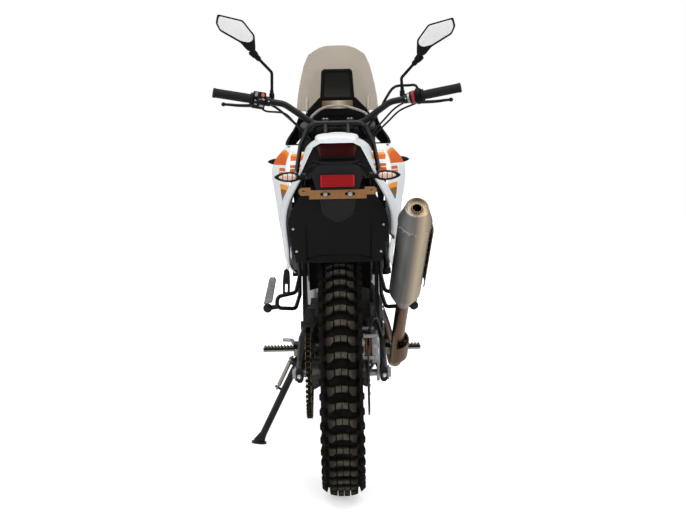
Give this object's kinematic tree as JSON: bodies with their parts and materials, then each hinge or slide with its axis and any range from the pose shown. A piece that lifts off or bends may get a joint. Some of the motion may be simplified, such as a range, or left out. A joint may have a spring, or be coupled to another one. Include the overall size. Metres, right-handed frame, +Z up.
{
  "type": "dual sport motorcycle",
  "caption": "Dual sport motorcycle with long-travel fork, knobbly tyres, tall screen and high silencer, parked on its side stand.",
  "frame": {"origin": "middle of the underside of the parked machine's box, on the floor", "axes": "+Z up, +Y towards the front wheel, +X to the rider's right"},
  "size_m": [0.8588, 2.181, 1.4504],
  "materials": {
    "frame_paint": "satin",
    "black_plastic": "matte",
    "white_plastic": "gloss",
    "alloy": "satin",
    "dark_alloy": "satin",
    "steel": "brushed",
    "bronze": "satin",
    "tyre": "matte",
    "rubber": "matte",
    "seat_cover": "grained",
    "lens_red": "gloss",
    "lens_clear": "gloss",
    "screen_tint": "gloss",
    "spring_white": "gloss"
  },
  "bodies": {
    "chassis": {"frame": "frame_paint", "subframe": "frame_paint", "swingarm": "dark_alloy", "shock": "spring_white", "engine_case": "dark_alloy", "cylinder_head": "dark_alloy", "radiators": "alloy", "header_pipe": "steel", "silencer": "steel", "heat_shields": "bronze", "fuel_tank": "white_plastic", "seat": "seat_cover", "front_panels": "white_plastic", "rear_panels": "white_plastic", "tail_cover": "white_plastic", "tail_light": "lens_red", "plate_holder": "black_plastic", "plate_bracket": "bronze", "reflector": "lens_red", "inner_fender": "black_plastic", "grab_rack": "frame_paint", "rear_signals": "lens_clear", "front_signals": "lens_clear", "windscreen": "screen_tint", "display_tower": "black_plastic", "headlight": "lens_clear", "cowl_sides": "black_plastic", "cowl_frame": "frame_paint", "footpegs": "alloy", "foot_controls": "frame_paint", "passenger_pegs": "frame_paint", "skid_plate": "alloy", "chain": "bronze", "drive_sprocket": "steel", "chain_guard": "black_plastic", "rear_axle": "steel", "rear_caliper": "steel"},
    "rear_wheel": {"rear_tyre": "tyre", "rear_rim": "black_plastic", "rear_hub": "alloy", "rear_sprocket": "steel", "rear_disc": "steel"},
    "steering": {"triple_clamps": "dark_alloy", "fork_tubes": "black_plastic", "fork_legs": "alloy", "handlebar": "dark_alloy", "grips": "rubber", "hand_controls": "dark_alloy", "mirrors": "black_plastic", "front_fender": "white_plastic", "front_caliper": "steel", "front_axle": "steel"},
    "front_wheel": {"front_tyre": "tyre", "front_rim": "black_plastic", "front_hub": "alloy", "front_disc": "steel"},
    "stand": {"side_stand": "frame_paint", "stand_spring": "steel"}
  },
  "joints": [
    {"name": "rear_wheel_spin", "type": "hinge", "parent": "chassis", "child": "rear_wheel", "pos_m": [0.08602, -0.7455, 0.34583], "axis": [0.9945, 0, 0.1045], "continuous": true},
    {"name": "steering_turn", "type": "hinge", "parent": "chassis", "child": "steering", "pos_m": [0.02573, 0.36229, 0.91939], "axis": [-0.0927, -0.4617, 0.8822], "range_deg": [-40, 40]},
    {"name": "front_wheel_spin", "type": "hinge", "parent": "steering", "child": "front_wheel", "pos_m": [0.08588, 0.7295, 0.34708], "axis": [0.9945, 0, 0.1045], "continuous": true},
    {"name": "side_stand_fold", "type": "hinge", "parent": "chassis", "child": "stand", "pos_m": [-0.0505, -0.1495, 0.28623], "axis": [-0.8866, 0.223, 0.4052], "range_deg": [0, 108.5]}
  ]
}
